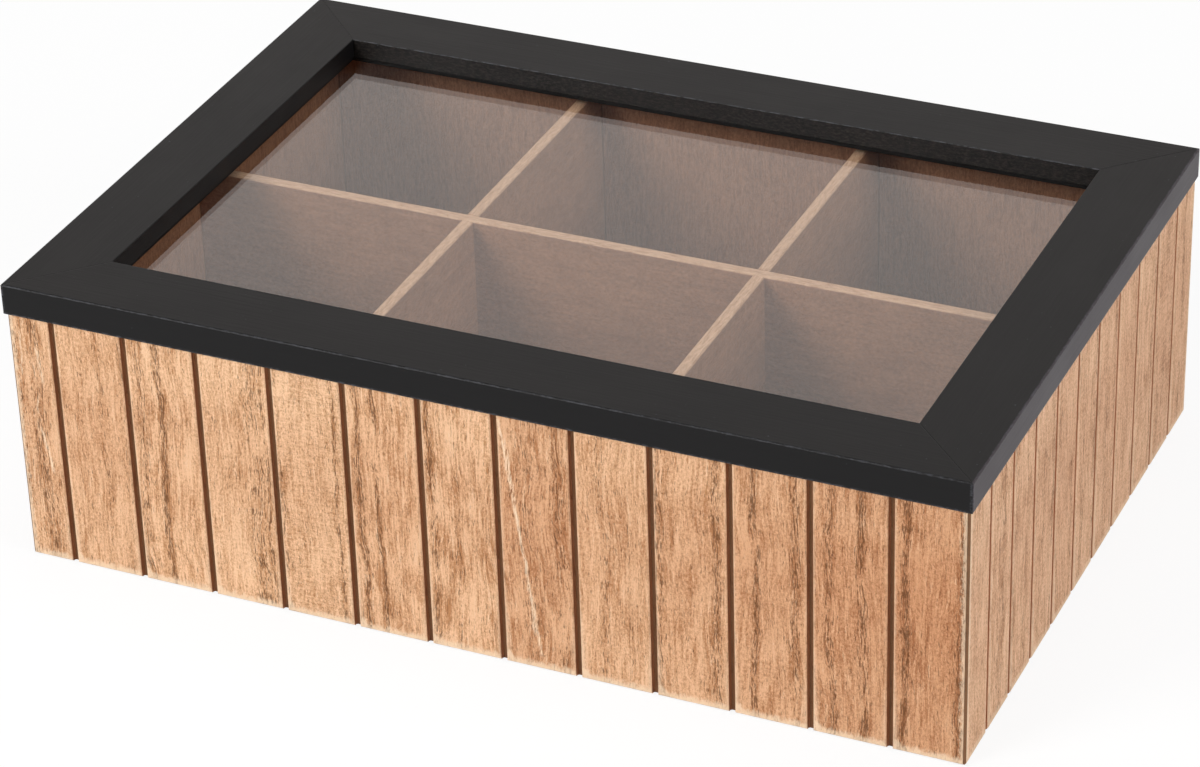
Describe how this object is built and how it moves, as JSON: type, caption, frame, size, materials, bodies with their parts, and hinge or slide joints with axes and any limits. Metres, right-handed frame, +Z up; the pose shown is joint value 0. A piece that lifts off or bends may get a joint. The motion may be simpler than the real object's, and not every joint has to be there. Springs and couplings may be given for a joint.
{
  "type": "tea bag organizer box",
  "caption": "Rectangular wooden tea bag box with grooved walls, a divider grid inside and a hinged black frame lid with a clear glass pane.",
  "frame": {"origin": "middle of the whole outline, lid lips and hinge knuckles included, on the surface the box stands on", "axes": "+X to the right along the box, +Y to the back where the hinges are, +Z up"},
  "size_m": [0.2414, 0.1672, 0.075],
  "materials": {
    "panel_wood": "brown-stained open-grained wood with short dark pores, brushed, matt",
    "inner_wood": "smooth plain board, matt",
    "black_frame": "satin black paint on wood",
    "clear_glass": "clear, polished",
    "hinge_brass": "plain stamped brass"
  },
  "bodies": {
    "box": {"front_panel": "panel_wood", "back_panel": "panel_wood", "left_panel": "panel_wood", "right_panel": "panel_wood", "bottom_panel": "inner_wood", "long_divider": "inner_wood", "left_cross_divider": "inner_wood", "right_cross_divider": "inner_wood", "left_hinge_box_leaf": "hinge_brass", "right_hinge_box_leaf": "hinge_brass", "left_hinge_pin": "hinge_brass", "right_hinge_pin": "hinge_brass", "box_leaf_screws": "hinge_brass"},
    "lid": {"lid_front_rail": "black_frame", "lid_back_rail": "black_frame", "lid_left_rail": "black_frame", "lid_right_rail": "black_frame", "glass_pane": "clear_glass", "glass_bead_front": "black_frame", "glass_bead_back": "black_frame", "glass_bead_left": "black_frame", "glass_bead_right": "black_frame", "left_hinge_lid_leaf": "hinge_brass", "right_hinge_lid_leaf": "hinge_brass", "lid_leaf_screws": "hinge_brass"}
  },
  "joints": [
    {"name": "lid_hinge", "type": "hinge", "parent": "box", "child": "lid", "pos_m": [0, 0.0821, 0.067], "axis": [-1, 0, 0], "range_deg": [0, 180]}
  ]
}
